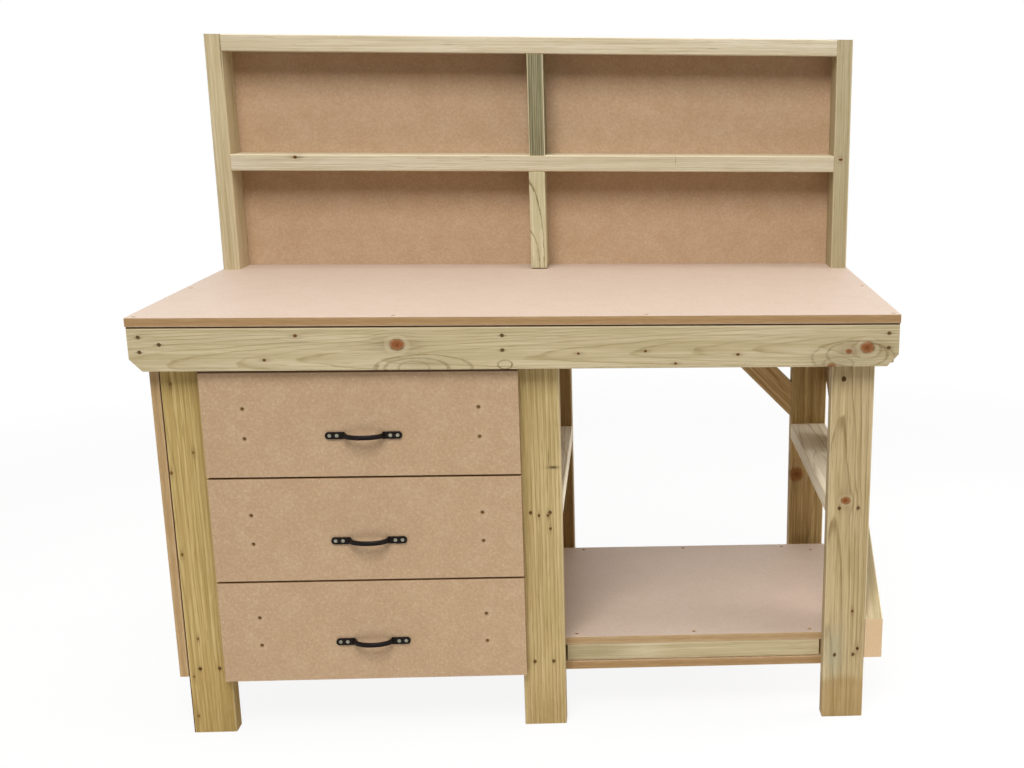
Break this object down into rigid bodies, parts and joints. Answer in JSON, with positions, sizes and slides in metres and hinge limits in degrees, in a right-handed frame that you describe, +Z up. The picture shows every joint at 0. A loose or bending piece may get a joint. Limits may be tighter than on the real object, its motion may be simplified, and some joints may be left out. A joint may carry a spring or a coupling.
{
  "type": "workbench with storage shelf",
  "caption": "Timber workbench with a board worktop, a bank of drawers on runners, an open bay with a low shelf, and a divided storage shelf standing along the back edge.",
  "frame": {"origin": "on the floor, under the middle of the whole bench", "axes": "+Z up; -Y towards the user, the way the drawers open; +X to the right of a person facing the bench"},
  "size_m": [1.516, 0.773, 1.444],
  "materials": {
    "timber": "planed, pressure treated",
    "fibreboard": "raw board",
    "drawer_board": "raw board",
    "black_iron": "black lacquer",
    "zinc_screw": "zinc",
    "runner_steel": "zinc"
  },
  "bodies": {
    "bench": {"front_apron": "timber", "rear_apron": "timber", "left_top_rail": "timber", "middle_top_rail": "timber", "right_top_rail": "timber", "front_left_leg": "timber", "rear_left_leg": "timber", "left_bottom_brace": "timber", "front_middle_leg": "timber", "rear_middle_leg": "timber", "middle_bottom_brace": "timber", "front_right_leg": "timber", "rear_right_leg": "timber", "right_bottom_brace": "timber", "middle_mid_brace": "timber", "right_mid_brace": "timber", "right_diagonal_brace": "timber", "rear_knee_brace": "timber", "worktop": "fibreboard", "left_side_panel": "fibreboard", "lower_shelf": "fibreboard", "lower_bottom_board": "fibreboard", "lower_shelf_front_rail": "timber", "lower_shelf_rear_rail": "timber", "left_upright": "timber", "right_upright": "timber", "top_rail": "timber", "storage_shelf": "timber", "upper_divider": "timber", "lower_divider": "timber", "back_panel": "fibreboard", "runner_bearers": "timber", "runner_fixed_channels": "runner_steel", "frame_screws": "zinc_screw", "board_screws": "zinc_screw", "runner_screws": "zinc_screw"},
    "drawer_1": {"drawer_1_front": "fibreboard", "drawer_1_box_sides": "drawer_board", "drawer_1_box_ends": "drawer_board", "drawer_1_bottom": "drawer_board", "drawer_1_handle": "black_iron", "drawer_1_runner_strips": "runner_steel", "drawer_1_screws": "zinc_screw"},
    "drawer_1_middle": {"drawer_1_middle_slides": "runner_steel"},
    "drawer_2": {"drawer_2_front": "fibreboard", "drawer_2_box_sides": "drawer_board", "drawer_2_box_ends": "drawer_board", "drawer_2_bottom": "drawer_board", "drawer_2_handle": "black_iron", "drawer_2_runner_strips": "runner_steel", "drawer_2_screws": "zinc_screw"},
    "drawer_2_middle": {"drawer_2_middle_slides": "runner_steel"},
    "drawer_3": {"drawer_3_front": "fibreboard", "drawer_3_box_sides": "drawer_board", "drawer_3_box_ends": "drawer_board", "drawer_3_bottom": "drawer_board", "drawer_3_handle": "black_iron", "drawer_3_runner_strips": "runner_steel", "drawer_3_screws": "zinc_screw"},
    "drawer_3_middle": {"drawer_3_middle_slides": "runner_steel"}
  },
  "joints": [
    {"name": "drawer_1_slide", "type": "slide", "parent": "bench", "child": "drawer_1", "axis": [0, -1, 0], "range_m": [0, 0.5]},
    {"name": "drawer_1_middle_slide", "type": "slide", "parent": "bench", "child": "drawer_1_middle", "axis": [0, -1, 0], "range_m": [0, 0.25]},
    {"name": "drawer_2_slide", "type": "slide", "parent": "bench", "child": "drawer_2", "axis": [0, -1, 0], "range_m": [0, 0.5]},
    {"name": "drawer_2_middle_slide", "type": "slide", "parent": "bench", "child": "drawer_2_middle", "axis": [0, -1, 0], "range_m": [0, 0.25]},
    {"name": "drawer_3_slide", "type": "slide", "parent": "bench", "child": "drawer_3", "axis": [0, -1, 0], "range_m": [0, 0.5]},
    {"name": "drawer_3_middle_slide", "type": "slide", "parent": "bench", "child": "drawer_3_middle", "axis": [0, -1, 0], "range_m": [0, 0.25]}
  ],
  "couplings": [
    {"joint": "drawer_1_middle_slide", "follows": "drawer_1_slide", "ratio": 0.5},
    {"joint": "drawer_2_middle_slide", "follows": "drawer_2_slide", "ratio": 0.5},
    {"joint": "drawer_3_middle_slide", "follows": "drawer_3_slide", "ratio": 0.5}
  ]
}
